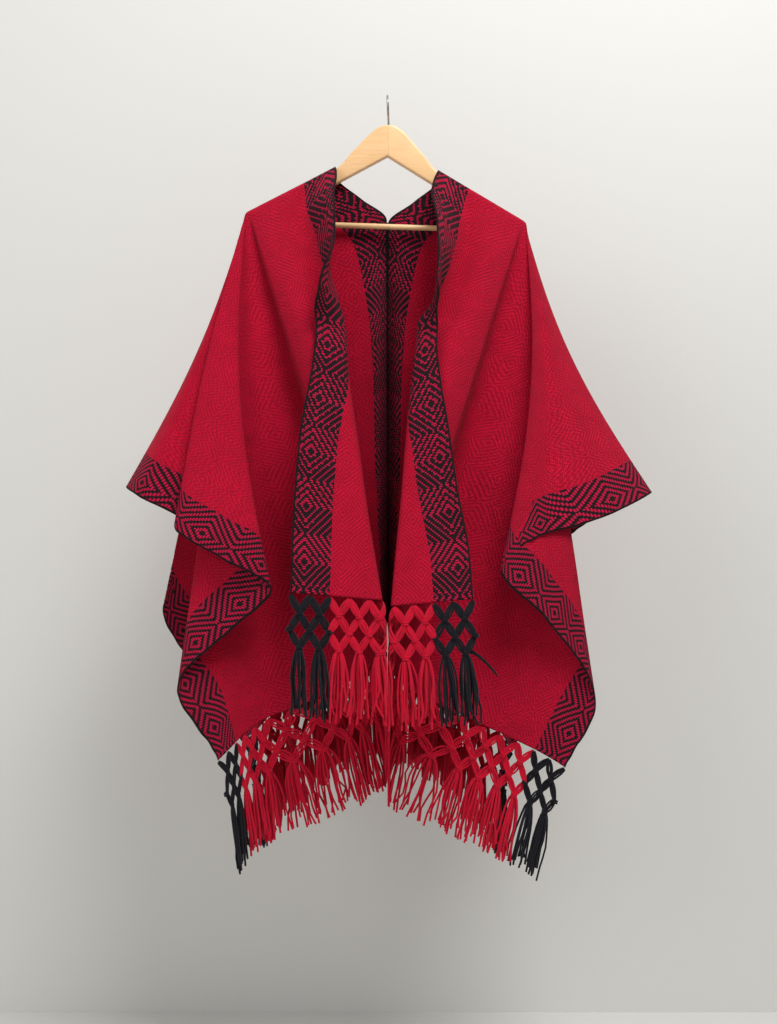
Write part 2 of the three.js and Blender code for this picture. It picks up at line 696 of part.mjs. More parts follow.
for (const [name, half] of Object.entries(halves)) {
  const { points, triangles, normals, frontHem, backHem } = panelSheet(half);
  addMesh(`panel_${name}`, wall(points, triangles, clothThickness, half.sign, normals), redWool);
  addMesh(`fringe_front_${name}`, fringe(half, frontHem), redYarn);
  addMesh(`fringe_back_${name}`, fringe(half, backHem), redYarn);
}

const hanger = new THREE.Group();
hanger.rotation.y = tilt;
hanger.position.set(-tiltZ * Math.sin(tilt), 0, tiltZ - tiltZ * Math.cos(tilt));
addMesh('hanger_body', hangerBody(), varnishedWood, hanger);
addMesh('hanger_bar', barGeometry(0), varnishedWood, hanger);
part.add(hanger);
addMesh('hanger_hook', hookGeometry(), steel);

export default part;
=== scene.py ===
import math

import bpy
import numpy as np
from mathutils import Matrix, Vector


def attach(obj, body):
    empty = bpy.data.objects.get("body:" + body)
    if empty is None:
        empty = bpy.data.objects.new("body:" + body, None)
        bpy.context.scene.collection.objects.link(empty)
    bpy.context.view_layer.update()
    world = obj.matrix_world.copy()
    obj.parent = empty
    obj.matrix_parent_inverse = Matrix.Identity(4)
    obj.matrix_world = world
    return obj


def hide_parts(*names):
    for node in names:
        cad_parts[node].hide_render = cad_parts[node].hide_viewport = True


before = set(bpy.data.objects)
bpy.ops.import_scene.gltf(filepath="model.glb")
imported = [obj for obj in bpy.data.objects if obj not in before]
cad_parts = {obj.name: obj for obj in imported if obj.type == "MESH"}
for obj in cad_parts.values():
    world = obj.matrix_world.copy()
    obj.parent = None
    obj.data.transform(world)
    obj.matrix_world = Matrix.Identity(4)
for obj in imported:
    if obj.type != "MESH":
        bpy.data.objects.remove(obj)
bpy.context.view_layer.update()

bpy.ops.object.select_all(action="DESELECT")


# The hanger's body: two arms cut from pale board and glued at the peak, with all edges rounded
# over and a clear satin varnish. It hangs tilted a little, lower on the viewer's right.
mm = 0.001
neck_reach, tip_reach, end_inset = 82, 214.3, 4
neck_top, tip_top = -116.4, -189.2
neck_run, peak, lower_peak = 10, -44, -94
arm_height, board_thickness, edge_round, glue_line = 25, 12, 3.4, 0.2
tilt_pivot = -100
hanger_tilt = math.radians(1.9)
tilted = (
    Matrix.Translation((0, 0, tilt_pivot))
    @ Matrix.Rotation(hanger_tilt, 4, "Y")
    @ Matrix.Translation((0, 0, -tilt_pivot))
)
peak_x = (tilted @ Vector((0, 0, peak))).x


def linear(*screen):
    """A colour as seen on a screen, 0 to 255, as the shader's own linear value."""
    steps = [value / 255 for value in screen]
    return tuple(s / 12.92 if s <= 0.04045 else ((s + 0.055) / 1.055) ** 2.4 for s in steps) + (1,)


def quarter(start, control, end, steps=8):
    """Points along a soft corner from start to end."""
    places = [i / steps for i in range(1, steps + 1)]
    return [
        tuple((1 - t) ** 2 * s + 2 * t * (1 - t) * c + t * t * e for s, c, e in zip(start, control, end))
        for t in places
    ]


def outline_curve(name, points, depth, bevel, resolution):
    """A flat closed outline with thickness and rounded edges, made a mesh, standing upright."""
    data = bpy.data.curves.new(name, "CURVE")
    data.dimensions, data.fill_mode = "2D", "BOTH"
    data.extrude, data.bevel_depth, data.offset = depth / 2 - bevel, bevel, -bevel
    data.bevel_resolution = resolution
    line = data.splines.new("POLY")
    line.points.add(len(points) - 1)
    for spot, (x, z) in zip(line.points, points):
        spot.co = (x, z, 0, 1)
    line.use_cyclic_u = True
    made = bpy.data.objects.new(name, data)
    bpy.context.collection.objects.link(made)
    settle(made)
    made.data.transform(Matrix.Rotation(math.pi / 2, 4, "X"))
    return made


def settle(made):
    """Makes a curve a mesh, merges its doubles and turns its faces outward."""
    bpy.ops.object.select_all(action="DESELECT")
    made.select_set(True)
    bpy.context.view_layer.objects.active = made
    if made.type == "CURVE":
        bpy.ops.object.convert(target="MESH")
    bpy.ops.object.mode_set(mode="EDIT")
    bpy.ops.mesh.select_all(action="SELECT")
    bpy.ops.mesh.remove_doubles(threshold=1e-5)
    bpy.ops.mesh.normals_make_consistent(inside=False)
    bpy.ops.object.mode_set(mode="OBJECT")
    bpy.ops.object.shade_smooth_by_angle(angle=math.radians(40))
    bpy.ops.object.select_all(action="DESELECT")


def new_material(name, roughness, sheen=0.0, metallic=0.0):
    """A material with its shader's fixed values set, and its nodes and links to build on."""
    made = bpy.data.materials.new(name)
    made.use_nodes = True
    nodes, links = made.node_tree.nodes, made.node_tree.links
    shader = nodes["Principled BSDF"]
    shader.inputs["Roughness"].default_value = roughness
    shader.inputs["Metallic"].default_value = metallic
    shader.inputs["Sheen Weight"].default_value = sheen
    return made, nodes, links, shader


def sums(nodes, links, kind, *values):
    """One Math node on numbers or sockets, and its output."""
    node = nodes.new("ShaderNodeMath")
    node.operation = kind
    for socket, value in zip(node.inputs, values):
        if isinstance(value, bpy.types.NodeSocket):
            links.new(value, socket)
        else:
            socket.default_value = value
    return node.outputs[0]


def blended(nodes, links, factor, low, high):
    """A colour that goes from low to high with factor; both are colours or sockets."""
    node = nodes.new("ShaderNodeMix")
    node.data_type = "RGBA"
    links.new(factor, node.inputs["Factor"])
    for socket, value in ((node.inputs[6], low), (node.inputs[7], high)):
        if isinstance(value, bpy.types.NodeSocket):
            links.new(value, socket)
        else:
            socket.default_value = value
    return node.outputs[2]


arm_slope = (tip_top - neck_top) / (tip_reach - neck_reach)
board_side = [(0, peak)]
board_side += quarter(board_side[-1], (15, peak), (30, -60))
board_side += [(60, -93)]
board_side += quarter(
    board_side[-1], (neck_reach - neck_run, neck_top - arm_slope * neck_run), (neck_reach, neck_top)
)
end_reach, end_top = tip_reach - end_inset, tip_top - arm_slope * end_inset
board_side += [(end_reach, end_top)]
board_side += quarter(board_side[-1], (end_reach + 5, end_top - 3), (end_reach + 4.5, end_top - 10), 4)
board_side += quarter(
    board_side[-1], (end_reach + 3, end_top - arm_height - 1), (end_reach - 9, end_top - arm_height + 5)
)
board_side += [(neck_reach, neck_top - arm_height), (0, lower_peak)]
board_line = board_side + [(-x, z) for x, z in reversed(board_side[1:-1])]
arms = outline_curve("hanger_arms", board_line, board_thickness, edge_round, 4)
arms.data.transform(Matrix.Scale(mm, 4) @ tilted)

varnished, nodes, links, shader = new_material("varnished pale wood", 0.38)
shader.inputs["Coat Weight"].default_value = 0.35
shader.inputs["Coat Roughness"].default_value = 0.22
place = nodes.new("ShaderNodeTexCoord").outputs["Object"]
along_grain = nodes.new("ShaderNodeMapping")
along_grain.inputs["Scale"].default_value = (9, 60, 95)
links.new(place, along_grain.inputs["Vector"])
grain = nodes.new("ShaderNodeTexNoise")
grain.inputs["Scale"].default_value = 3.2
grain.inputs["Detail"].default_value = 6
grain.inputs["Distortion"].default_value = 0.6
links.new(along_grain.outputs["Vector"], grain.inputs["Vector"])
pores = nodes.new("ShaderNodeTexNoise")
pores.inputs["Scale"].default_value = 22
pores.inputs["Detail"].default_value = 3
links.new(along_grain.outputs["Vector"], pores.inputs["Vector"])
wood_tone = blended(nodes, links, grain.outputs["Fac"], linear(228, 172, 112), linear(250, 210, 158))
pore_mask = sums(nodes, links, "GREATER_THAN", pores.outputs["Fac"], 0.63)
pore_depth = sums(nodes, links, "MULTIPLY", pore_mask, 0.3)
pored = blended(nodes, links, pore_depth, wood_tone, linear(190, 130, 78))
apart = nodes.new("ShaderNodeSeparateXYZ")
links.new(place, apart.inputs["Vector"])
right_of_joint = sums(nodes, links, "GREATER_THAN", apart.outputs["X"], peak_x * mm)
paler = sums(nodes, links, "MULTIPLY", right_of_joint, 0.35)
halves_tone = blended(nodes, links, paler, pored, linear(252, 206, 150))
joint_offset = sums(nodes, links, "SUBTRACT", apart.outputs["X"], peak_x * mm)
from_joint = sums(nodes, links, "ABSOLUTE", joint_offset)
glue = sums(nodes, links, "MULTIPLY", sums(nodes, links, "LESS_THAN", from_joint, glue_line * mm), 0.5)
links.new(blended(nodes, links, glue, halves_tone, linear(150, 100, 60)), shader.inputs["Base Color"])
wood_relief = nodes.new("ShaderNodeBump")
wood_relief.inputs["Strength"].default_value = 0.15
wood_relief.inputs["Distance"].default_value = 0.0004
links.new(grain.outputs["Fac"], wood_relief.inputs["Height"])
links.new(wood_relief.outputs["Normal"], shader.inputs["Normal"])
arms.data.materials.append(varnished)
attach(arms, "root")
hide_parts("hanger_body")


# The trouser bar: a round wooden dowel, let into a blind hole in each arm's end and varnished
# with the body.
bar_radius, bar_height, bar_reach, bar_chamfer = 4.3, -203, 206.5, 0.6
bpy.ops.mesh.primitive_cylinder_add(vertices=40, radius=bar_radius * mm, depth=2 * bar_reach * mm)
bar = bpy.context.object
bar.name = "trouser_bar"
bpy.ops.object.mode_set(mode="EDIT")
bpy.ops.mesh.select_all(action="SELECT")
bpy.ops.mesh.bevel(offset=bar_chamfer * mm, segments=2)
bpy.ops.object.mode_set(mode="OBJECT")
laid_down = Matrix.Scale(1 / mm, 4) @ Matrix.Rotation(math.pi / 2, 4, "Y")
bar.data.transform(tilted @ Matrix.Translation((0, 0, bar_height)) @ laid_down)
bar.data.transform(Matrix.Scale(mm, 4))
settle(bar)
bar.data.materials.append(varnished)
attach(bar, "root")
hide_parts("hanger_bar")


# The hook: one plated steel wire, bent round to the back, with a screw thread rolled on its
# shank, which is driven into the top of the wood.
wire, hook_radius = 3.2, 16


def lean(y, z):
    """A place on the hook's own plane, from the crown over the origin to the tilted peak."""
    x = (tilted @ Vector((0, 0, z))).x if z < peak else peak_x * min(z, 0) / peak
    return (x, y, z)


def tube(name, lines, radius, sides=0, materials=(), groups=None):
    """Round wire or yarn along each line of points, in millimetres, as one mesh."""
    data = bpy.data.curves.new(name, "CURVE")
    data.dimensions, data.fill_mode = "3D", "FULL"
    data.bevel_depth, data.bevel_resolution = radius * mm, sides
    data.use_fill_caps = True
    for material in materials:
        data.materials.append(material)
    for number, points in enumerate(lines):
        line = data.splines.new("POLY")
        line.points.add(len(points) - 1)
        places = np.hstack([np.asarray(points) * mm, np.ones((len(points), 1))])
        line.points.foreach_set("co", places.ravel())
        line.use_smooth = True
        if groups is not None:
            line.material_index = groups[number]
    made = bpy.data.objects.new(name, data)
    bpy.context.collection.objects.link(made)
    bpy.context.view_layer.objects.active = made
    made.select_set(True)
    bpy.ops.object.convert(target="MESH")
    made = bpy.context.object
    made.select_set(False)
    return made


def smooth_line(points, steps):
    """A soft line through the points, with so many steps between two of them."""
    ends = [2 * np.array(points[0]) - points[1], 2 * np.array(points[-1]) - points[-2]]
    p = np.vstack([ends[:1], points, ends[1:]])
    made = []
    for i in range(1, len(p) - 2):
        for t in np.arange(steps) / steps:
            made.append(
                0.5
                * (
                    2 * p[i]
                    + (p[i + 1] - p[i - 1]) * t
                    + (2 * p[i - 1] - 5 * p[i] + 4 * p[i + 1] - p[i + 2]) * t**2
                    + (3 * p[i] - p[i - 1] - 3 * p[i + 1] + p[i + 2]) * t**3
                )
            )
    return np.vstack(made + [p[-2]])


bend_radius = hook_radius + wire / 2
hook_route = [lean(0, peak - 14), lean(0, peak), lean(0, peak + 5), lean(-3.5, peak + 9.5)]
for turn in range(150, -111, -20):
    angle = math.radians(turn)
    hook_route.append(lean(-bend_radius * math.sin(angle), bend_radius * math.cos(angle) - hook_radius))
hook = tube("hook_wire", [smooth_line(hook_route, 5)], wire / 2, 4)
thread_radius, thread_pitch, thread_turns, thread_wire = 1.75, 1.1, 4, 0.35
thread = [
    (
        peak_x + thread_radius * math.cos(turned),
        thread_radius * math.sin(turned),
        peak - 1 + thread_pitch * turned / (2 * math.pi),
    )
    for turned in np.linspace(0, 2 * math.pi * thread_turns, 80)
]
screw = tube("screw_thread", [thread], thread_wire, 0)
bpy.ops.object.select_all(action="DESELECT")
screw.select_set(True)
hook.select_set(True)
bpy.context.view_layer.objects.active = hook
bpy.ops.object.join()
settle(hook)

plated, nodes, links, shader = new_material("bright plated wire", 0.25, metallic=1.0)
place = nodes.new("ShaderNodeTexCoord").outputs["Object"]
scuffs = nodes.new("ShaderNodeTexNoise")
scuffs.inputs["Scale"].default_value = 900
scuffs.inputs["Detail"].default_value = 4
links.new(place, scuffs.inputs["Vector"])
plating = blended(nodes, links, scuffs.outputs["Fac"], linear(120, 118, 116), linear(205, 204, 200))
links.new(plating, shader.inputs["Base Color"])
links.new(sums(nodes, links, "MULTIPLY_ADD", scuffs.outputs["Fac"], 0.3, 0.15), shader.inputs["Roughness"])
hook.data.materials.append(plated)
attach(hook, "root")
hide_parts("hanger_hook")


# The two wool panels: each one a length of handwoven cloth, hung over an arm of the hanger with
# its centre edge rolled back over the chest. Across counts from the centre edge and along from
# the middle of the length, positive to the front, both in millimetres on the flat cloth.
panel_width, half_length, cloth_thickness, band_width = 630, 720, 2.6, 57
fringe_pitches = 22
pitch = panel_width / fringe_pitches
neck_along, tip_across, shoulder_radius, neck_slit = 40, 5.5 * pitch, 10, 120
chest_bulge, lapel_rise, neck_fade, hanger_gap = 24, 12, 60, 1


def columns(names, *rows):
    """A table by the name of its columns."""
    return dict(zip(names.split(), np.array(rows, float).T))


# The folds round the hanger's tip: the angle on the flat cloth, from straight down the back (-90)
# over the sleeve's edge (0) to straight down the front (90), and how the cloth hangs on that line.
left_folds = columns(
    "flat swing forward bow slack",
    [-90, -12, -5, 0, 1],
    [-85.9, -10.7, -1.5, 0, 1],
    [-81.8, -9.5, -5.5, 0, 1],
    [-77.6, -8.3, -1.5, 0, 1],
    [-73.5, -7.1, -5.5, 0, 1],
    [-69.4, -5, -1.5, 0, 1],
    [-65.3, -3, -5.5, 0, 1],
    [-61.1, -1, -3, 0, 1],
    [-56.7, 1.5, -6.5, 0, 1],
    [-50.7, 6.9, -5, 0, 1],
    [-43, 12.7, -4, 0, 1],
    [-30, 4, -8, 0, 1],
    [-18, 14.3, -9, -8, 1],
    [0, 23.6, 0, -19, 1],
    [11.5, 18.8, 10, -12, 1],
    [17, 11.5, 9, 0, 1],
    [24, 10.6, 12, 10, 1],
    [32, 1.8, 12, 20, 1],
    [38.2, -5, 11, 28, 1],
    [44, 1, 8.5, 10, 1],
    [50.8, 7.1, 7, 0, 1],
    [56.7, 2.4, 4.5, 0, 0.99],
    [64.7, -1.9, 3, 0, 1],
    [71.3, -11.3, 2, 0, 1],
    [78, -16.4, 1, 0, 1],
    [90, -17.9, 12, 0, 0.895],
)
right_folds = columns(
    "flat swing forward bow slack",
    [-90, -12, -5, 0, 1],
    [-85.9, -10.7, -1.5, 0, 1],
    [-81.8, -9.5, -5.5, 0, 1],
    [-77.6, -8.3, -1.5, 0, 1],
    [-73.5, -7.1, -5.5, 0, 1],
    [-69.4, -5.5, -1.5, 0, 1],
    [-65.3, -4.6, -5.1, 0, 1],
    [-61.1, -2, -3.4, 0, 1],
    [-56.7, -0.5, -6, 0, 1],
    [-50, 5, -4, 0, 1],
    [-43, 9.5, -6.5, 0, 1],
    [-33, 3, -3.5, 0, 1],
    [-24, 7.9, -8, -6, 1],
    [-12, 16.5, -7, -14, 1],
    [0, 25.2, 0, -26, 1],
    [10.5, 16.6, 7, -14, 1],
    [15.6, 8.6, 9, 5, 1],
    [19.4, 2, 10, 15, 1],
    [32.3, -5.2, 12, 27, 1],
    [41.5, 2.2, 9, 10, 1],
    [51.9, 7.4, 6.5, 0, 0.985],
    [56.7, 3.6, 5, 0, 0.985],
    [67, -6.7, 2.5, 0, 1],
    [71.9, -14.2, 1.5, 0, 1],
    [78, -16.2, 1, 0, 1],
    [90, -18, 12, 0, 0.88],
)

# The roll of the front edge, by the drop below the neck.
left_edge = columns(
    "drop start_x roll turn radius",
    [0, 134, 57, 0, 26],
    [55, 140, 74, 39, 25],
    [91, 132, 81, 55, 24],
    [146, 121, 87, 69, 23],
    [190, 102, 96, 103, 22],
    [230, 88, 88, 132, 19],
    [272, 77, 77, 180, 15],
    [325, 73, 82, 180, 14],
    [433, 56, 110, 180, 12],
    [538, 40, 128, 180, 10],
    [680, 15, 147, 180, 7],
)
right_edge = columns(
    "drop start_x roll turn radius",
    [0, 130, 57, 0, 26],
    [85, 128, 80, 50, 24],
    [140, 117, 87, 70, 23],
    [210, 86, 87, 97, 19],
    [246, 62, 68, 140, 16],
    [283, 57, 62, 180, 14],
    [355, 47, 74, 180, 13],
    [421, 40, 88, 180, 12],
    [516, 30.5, 104, 180, 10],
    [612, 19.5, 125, 180, 8],
    [680, 13, 133, 180, 7],
)


def back_table(neck_x, band_x, band_fall):
    """The middle of the back, by the drop below the neck."""
    return columns(
        "drop edge_x edge_y edge_fall band_x band_y band_fall",
        [0, neck_x, 0, 0, band_x, 0, band_fall],
        [16, neck_x - 1.5, 0, 15, band_x - 1.5, 0, band_fall + 15],
        [60, neck_x * 0.52, 2, 49, band_x - 36, 1, band_fall + 51],
        [neck_slit, 0.8, 5, 84, 55, 2, 120],
        [228, 1, 24, 191, 31, -2, 226],
        [319, 1.2, 36, 281, 23, 0, 314],
        [456, 1.2, 43, 417, 20, 2, 449],
        [608, 1.2, 48, 568, 13, 3, 597],
        [760, 1.2, 50, 719, 9, 3, 745],
    )


def panel_half(sign, hem_z, folds, edge):
    """One half of the poncho, with where its cloth lies on the tilted hanger."""
    lift = cloth_thickness / 2 + hanger_gap
    neck = tilted @ Vector((sign * neck_reach, 0, neck_top + lift))
    tip = tilted @ Vector((sign * tip_reach, 0, tip_top + lift))
    share = band_width / tip_across
    band_x = sign * (neck.x + (tip.x - neck.x) * share)
    back = back_table(sign * neck.x, band_x, (neck.z - tip.z) * share)
    return {
        "sign": sign, "neck": np.array(neck), "tip": np.array(tip), "hem_z": hem_z,
        "folds": folds, "edge": edge, "back": back,
    }


halves = {
    "left": panel_half(-1, -779, left_folds, left_edge),
    "right": panel_half(1, -788, right_folds, right_edge),
}


def soft_read(xs, ys, at):
    """A smooth curve through the points of a table that never overshoots them."""
    ys = np.asarray(ys, float)
    at = np.clip(at, xs[0], xs[-1])
    i = np.clip(np.searchsorted(xs, at, side="left") - 1, 0, len(xs) - 2)
    slope = np.diff(ys) / np.diff(xs)
    before, after = slope[:-1], slope[1:]
    with np.errstate(divide="ignore", invalid="ignore"):
        inner = np.where(before * after > 0, 2 * before * after / (before + after), 0)
    tangent = np.concatenate([slope[:1], inner, slope[-1:]])
    span, rise = np.diff(xs)[i], np.diff(ys)[i]
    t = (at - xs[i]) / span
    start, end = tangent[i] * span, tangent[i + 1] * span
    return ys[i] + t * (start + t * (3 * rise - 2 * start - end + t * (start + end - 2 * rise)))


def read_rows(rows, key, at):
    """All the other columns of a table, each read smoothly by its key column."""
    return {name: soft_read(rows[key], rows[name], at) for name in rows if name != key}


def unit(vectors):
    return vectors / np.linalg.norm(vectors, axis=-1, keepdims=True)


def shoulder_point(half, across):
    return half["neck"] + (half["tip"] - half["neck"]) * (across / tip_across)[:, None]


def over_arm(length):
    """How far cloth that crosses the arm stands out from it, and how much less it has fallen."""
    bent = np.minimum(length / shoulder_radius, math.pi / 2)
    return shoulder_radius * np.sin(bent), shoulder_radius * (bent - 1 + np.cos(bent))


def sleeve_point(half, across, along):
    """The cloth beyond or below the hanger's tip, on lines that fan out from the tip."""
    sideways = across - tip_across
    reach, angle = np.hypot(sideways, along), np.arctan2(along, sideways)
    flat = np.degrees(angle)
    fold = read_rows(half["folds"], "flat", flat)
    ridge, forward = unit(half["tip"] - half["neck"]), np.array([0, -1.0, 0])
    leave = np.cos(angle)[:, None] * ridge + np.sin(angle)[:, None] * forward
    swing = half["sign"] * np.tan(np.radians(fold["swing"]))
    hang = unit(np.stack([swing, -np.tan(np.radians(fold["forward"])), -np.ones_like(angle)], -1))
    turn = np.arccos(np.clip((leave * hang).sum(-1), -1, 1))
    bent = np.minimum(reach / shoulder_radius, turn)
    inward = unit(hang - leave * np.cos(turn)[:, None])
    sleeve_length = (panel_width - tip_across) / np.maximum(np.cos(angle), 1e-6)
    whole = np.minimum(sleeve_length, half_length / np.maximum(np.abs(np.sin(angle)), 0.01))
    bow = fold["bow"] * np.sin(math.pi * reach / whole)
    straight = (reach - shoulder_radius * bent) * fold["slack"]
    point = half["tip"] + leave * (shoulder_radius * np.sin(bent))[:, None]
    point = point + inward * (shoulder_radius * (1 - np.cos(bent)))[:, None] + hang * straight[:, None]
    point[:, 0] += half["sign"] * bow
    return point


def rolled_front(half, across, share):
    """The chest from the sleeve to the roll, and the roll itself, which carries the front edge."""
    drop = share * (half_length - neck_along)
    edge = read_rows(half["edge"], "drop", drop)
    roll, radius = edge["roll"], edge["radius"]
    outer = sleeve_point(half, np.full_like(across, tip_across), share * half_length)
    spared = over_arm(share * half_length)[1]
    edge_z = half["neck"][2] + (half["hem_z"] - half["neck"][2]) * share + spared * (1 - share)
    slope = shoulder_point(half, roll)[:, 2] - half["neck"][2]
    start = np.stack([half["sign"] * edge["start_x"], outer[:, 1], edge_z + slope * (1 - share)], -1)
    t = ((across - roll) / (tip_across - roll))[:, None]
    bulge = chest_bulge * np.sin(math.pi * t[:, 0]) * np.sin(math.pi * share)
    chest = start * (1 - t) + outer * t
    chest[:, 1] -= bulge
    rolled = roll - across
    turned = np.minimum(rolled / radius, np.radians(edge["turn"]))
    beyond = rolled - radius * turned
    inward = radius * np.sin(turned) + beyond * np.cos(turned)
    forward = radius * (1 - np.cos(turned)) + beyond * np.sin(turned)
    z = start[:, 2] + (edge_z + lapel_rise * share - start[:, 2]) * rolled / roll
    lapel = np.stack([start[:, 0] - half["sign"] * inward, start[:, 1] - forward, z], -1)
    return np.where((across >= roll)[:, None], chest, lapel)


def front_point(half, across, share):
    fade = np.clip(1 - share * half_length / neck_fade, 0, 1)
    miss = shoulder_point(half, across) - rolled_front(half, across, np.zeros_like(share))
    return rolled_front(half, across, share) + miss * fade[:, None]


def back_point(half, across, share):
    """The back between the neck and the tip, through its edge, its band's limit and the tip line."""
    drop = share * (half_length + neck_along)
    back = read_rows(half["back"], "drop", drop)
    outer = sleeve_point(half, np.full_like(across, tip_across), -share * half_length)
    out, spared = over_arm(share * half_length)
    top = half["neck"][2] + spared * (1 - share)
    edge = np.stack([half["sign"] * back["edge_x"], out + back["edge_y"], top - back["edge_fall"]], -1)
    band = np.stack([half["sign"] * back["band_x"], out + back["band_y"], top - back["band_fall"]], -1)
    first, second = (band - edge) / band_width, (outer - band) / (tip_across - band_width)
    with np.errstate(divide="ignore", invalid="ignore"):
        middle = np.where(first * second > 0, 2 * first * second / (first + second), 0)
    inside = (across <= band_width)[:, None]
    span = np.where(inside, band_width, tip_across - band_width)
    t = np.where(inside, across[:, None], across[:, None] - band_width) / span
    low, high = np.where(inside, edge, band), np.where(inside, band, outer)
    start, end = np.where(inside, first, middle) * span, np.where(inside, middle, second) * span
    rise = high - low
    return low + t * (start + t * (3 * rise - 2 * start - end + t * (start + end - 2 * rise)))


def cloth_point(half, across, along):
    """The middle of the cloth's thickness at places on the flat cloth, in millimetres."""
    across, along = np.asarray(across, float), np.asarray(along, float)
    made = np.empty(across.shape + (3,))
    sleeve = across >= tip_across
    shoulder = neck_along * (1 - across / tip_across)
    front, back = ~sleeve & (along >= shoulder), ~sleeve & (along < shoulder)
    made[sleeve] = sleeve_point(half, across[sleeve], along[sleeve])
    share = (along - shoulder)[front] / (half_length - shoulder)[front]
    made[front] = front_point(half, across[front], share)
    share = (shoulder - along)[back] / (half_length + shoulder)[back]
    made[back] = back_point(half, across[back], share)
    return made


def spaced(start, end, step, fine, reach):
    """Steps from start to end that begin fine and widen with the distance from start."""
    made, size = [start], fine
    while made[-1] + size < end - step * 0.4:
        made.append(made[-1] + size)
        size = min(step, fine + (step - fine) * (made[-1] - start) / reach)
    return np.array(made + [end])


def panel_places(half):
    """The flat places of a panel's grid: its columns follow the roll of the front edge."""
    down = spaced(0, half_length, 5.6, 1.6, 40) / half_length
    share = np.concatenate([-down[:0:-1], down])[:, None]
    edge_drop = np.clip(share[:, 0], 0, 1) * (half_length - neck_along)
    edge = read_rows(half["edge"], "drop", edge_drop)
    bend = np.minimum(edge["radius"] * np.radians(edge["turn"]), edge["roll"] * 0.9)
    bend = np.maximum(bend, 20)
    flat_end, roll = (edge["roll"] - bend)[:, None], edge["roll"][:, None]
    lapel = np.linspace(0, 1, 15)[None, :-1] * flat_end
    bent = flat_end + (roll - flat_end) * np.linspace(0, 1, 13)[None, :-1]
    chest = roll + (tip_across - roll) * np.linspace(0, 1, 17)[None, :-1]
    sleeve = np.repeat(spaced(tip_across, panel_width, 5.4, 1.8, 30)[None, :], len(share), 0)
    across = np.hstack([lapel, bent, chest, sleeve])
    shoulder = neck_along * np.maximum(1 - across / tip_across, 0)
    length = np.where(share >= 0, half_length - shoulder, half_length + shoulder)
    return across, shoulder + share * length


def woven_panel(name, half):
    """A grid laid on the drape, with the flat place as its UV map, thickened to the cloth."""
    across, along = panel_places(half)
    high, wide = across.shape
    bpy.ops.mesh.primitive_grid_add(x_subdivisions=wide - 1, y_subdivisions=high - 1, size=1)
    made = bpy.context.object
    made.name = name
    mesh = made.data
    flat = np.empty((len(mesh.vertices), 3))
    mesh.vertices.foreach_get("co", flat.ravel())
    i = np.rint((flat[:, 0] + 0.5) * (wide - 1)).astype(int)
    j = np.rint((flat[:, 1] + 0.5) * (high - 1)).astype(int)
    x, y = across[j, i], along[j, i]
    point = cloth_point(half, x, y)
    point += wrinkles(half, x, y)
    least = np.where((y < 0) & (x < 3), 1.0, 1.3)
    point[:, 0] = half["sign"] * np.maximum(half["sign"] * point[:, 0], least)
    mesh.vertices.foreach_set("co", (point * mm).ravel())
    corners = np.empty(len(mesh.loops), int)
    mesh.loops.foreach_get("vertex_index", corners)
    chart = mesh.uv_layers[0]
    chart.name = "flat cloth"
    chart.uv.foreach_set("vector", (np.stack([x, y], -1)[corners] * mm).ravel())
    if half["sign"] > 0:
        mesh.flip_normals()
    thick = made.modifiers.new("thickness", "SOLIDIFY")
    thick.thickness, thick.offset = (cloth_thickness - 0.3) * mm, 0
    bpy.ops.object.modifier_apply(modifier=thick.name)
    bpy.ops.object.shade_smooth()
    made.select_set(False)
    return made


def wrinkles(half, across, along):
    """Small soft ripples in the cloth that a table of folds doesn't hold."""
    phase = 0.9 * half["sign"]
    fade = np.clip((np.abs(along) - 60) / 120, 0, 1)
    ripple = np.sin(across / 31 + along / 117 + phase) * np.sin(along / 83 - across / 190 + 2 * phase)
    small = np.sin(across / 13.7 - along / 61 + phase) * np.sin(along / 37 + across / 71)
    near_edge = np.exp(-np.minimum(across, panel_width - across) / 14)
    frilled = near_edge * (np.sin(along / 5.3 + 2 * np.sin(along / 29)) + 0.7 * np.sin(along / 11.9 + phase))
    out = (1.6 * ripple + 0.5 * small + 1.0 * frilled) * fade
    return np.stack([np.zeros_like(across), out, 0.55 * frilled * fade], -1)


def woven_texture(nodes, links, across, along, cell_across, cell_along, phase, warp_share):
    """The float on top of each crossing: 1 for weft and 0 for warp, with the yarn's round relief."""
    sizes = (cell_across, cell_along)
    over = [sums(nodes, links, "DIVIDE", flat, size) for flat, size in zip((across, along), sizes)]
    cells = [sums(nodes, links, "FLOOR", value) for value in over]
    within = [sums(nodes, links, "FRACT", value) for value in over]
    middles = [
        sums(nodes, links, "MULTIPLY", sums(nodes, links, "ADD", cell, 0.5), size)
        for cell, size in zip(cells, sizes)
    ]
    lines = sums(nodes, links, "FRACT", phase(*middles))
    weft_up = sums(nodes, links, "GREATER_THAN", lines, warp_share)
    round_across, round_along = [
        sums(nodes, links, "SINE", sums(nodes, links, "MULTIPLY", value, math.pi)) for value in within
    ]
    relief = nodes.new("ShaderNodeMix")
    links.new(weft_up, relief.inputs["Factor"])
    links.new(round_across, relief.inputs[2])
    links.new(round_along, relief.inputs[3])
    return weft_up, relief.outputs[0]


